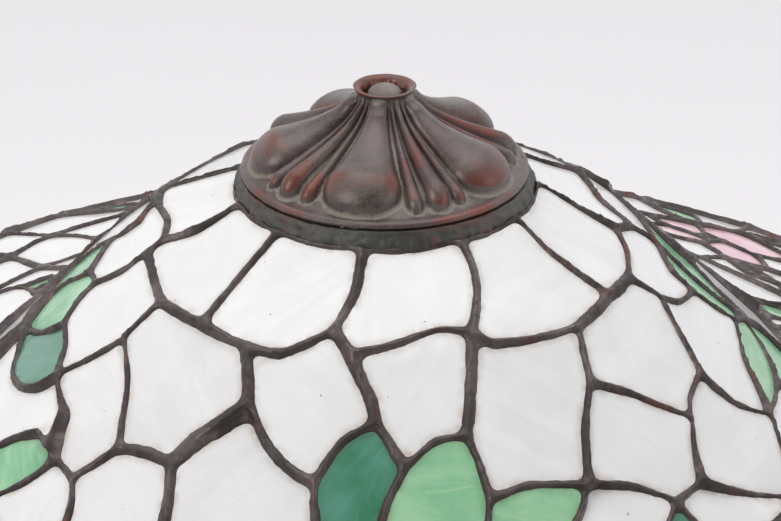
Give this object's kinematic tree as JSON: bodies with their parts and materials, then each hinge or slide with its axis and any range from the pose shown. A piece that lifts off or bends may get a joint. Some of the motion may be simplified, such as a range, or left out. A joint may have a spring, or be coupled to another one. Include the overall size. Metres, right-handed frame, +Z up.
{
  "type": "leaded glass table lamp",
  "caption": "Table lamp with a bell-shaped leaded opal-glass shade of leaves and flowers, a lobed vent cap, pull-chain sockets and a cast bronze stand.",
  "frame": {"origin": "centre of the foot's felt underside, on the surface the lamp stands on", "axes": "+Z up along the rod; -Y is the front, +Y is the side with the cord inlet"},
  "size_m": [0.6114, 0.6113, 0.656],
  "materials": {
    "border_glass": "gloss",
    "brass": "aged",
    "bronze": "patinated",
    "bulb_glass": "frosted",
    "centre_glass": "gloss",
    "dark_leaf_glass": "gloss",
    "felt": "matte",
    "inlet": "matte",
    "iron": "matte",
    "leaf_glass": "gloss",
    "liner": "matte",
    "patinated_solder": "satin",
    "petal_glass": "gloss",
    "steel": "satin",
    "white_glass": "gloss"
  },
  "bodies": {
    "base": {"bulb_bases": "brass", "bulbs": "bulb_glass", "cluster_body": "bronze", "cluster_top_nut": "brass", "foot": "bronze", "foot_felt": "felt", "foot_nut": "steel", "foot_plate": "steel", "foot_washer": "steel", "foot_weight": "iron", "inlet_bushing": "inlet", "rod": "steel", "shade_rest_nut": "brass", "socket_arms": "brass", "socket_caps": "brass", "socket_liners": "liner", "socket_shells": "brass", "stem_column": "bronze", "stem_lower": "bronze", "stem_upper": "bronze"},
    "shade": {"glass_border_skirt": "border_glass", "glass_centre_skirt": "centre_glass", "glass_dark_leaf_crown": "dark_leaf_glass", "glass_dark_leaf_skirt": "dark_leaf_glass", "glass_leaf_crown": "leaf_glass", "glass_leaf_skirt": "leaf_glass", "glass_petal_skirt": "petal_glass", "glass_white_crown_front": "white_glass", "glass_white_crown_left": "white_glass", "glass_white_crown_right": "white_glass", "glass_white_skirt_1": "white_glass", "glass_white_skirt_2": "white_glass", "glass_white_skirt_3": "white_glass", "glass_white_skirt_4": "white_glass", "glass_white_skirt_5": "white_glass", "glass_white_skirt_6": "white_glass", "seams_crown_front": "patinated_solder", "seams_crown_left": "patinated_solder", "seams_crown_right": "patinated_solder", "seams_skirt_1": "patinated_solder", "seams_skirt_2": "patinated_solder", "seams_skirt_3": "patinated_solder", "seams_skirt_4": "patinated_solder", "seams_skirt_5": "patinated_solder", "seams_skirt_6": "patinated_solder", "crown_ring": "patinated_solder", "spider": "brass", "rim_wire": "patinated_solder"},
    "cap": {"cap": "bronze", "cap_bridge": "steel"},
    "nut_washer": {"nut_washer": "steel"},
    "top_nut": {"top_nut": "bronze"},
    "chain_1": {"pull_chain_1": "brass", "chain_bell_1": "brass"},
    "chain_2": {"pull_chain_2": "brass", "chain_bell_2": "brass"},
    "chain_3": {"pull_chain_3": "brass", "chain_bell_3": "brass"}
  },
  "joints": [
    {"name": "shade_lift", "type": "slide", "parent": "base", "child": "shade", "axis": [0, 0, 1], "range_m": [0, 0.28]},
    {"name": "cap_lift", "type": "slide", "parent": "shade", "child": "cap", "axis": [0, 0, 1], "range_m": [0, 0.06]},
    {"name": "nut_rise", "type": "slide", "parent": "cap", "child": "nut_washer", "axis": [0, 0, 1], "range_m": [0, 0.004]},
    {"name": "nut_turn", "type": "hinge", "parent": "nut_washer", "child": "top_nut", "pos_m": [0, 0, 0.65], "axis": [0, 0, 1], "range_deg": [0, 1440]},
    {"name": "pull_1", "type": "slide", "parent": "base", "child": "chain_1", "axis": [0, 0, -1], "range_m": [0, 0.012], "stiffness_N_per_m": 150},
    {"name": "pull_2", "type": "slide", "parent": "base", "child": "chain_2", "axis": [0, 0, -1], "range_m": [0, 0.012], "stiffness_N_per_m": 150},
    {"name": "pull_3", "type": "slide", "parent": "base", "child": "chain_3", "axis": [0, 0, -1], "range_m": [0, 0.012], "stiffness_N_per_m": 150}
  ],
  "couplings": [
    {"joint": "nut_rise", "follows": "nut_turn", "m_per_rad": 0.00014961}
  ]
}
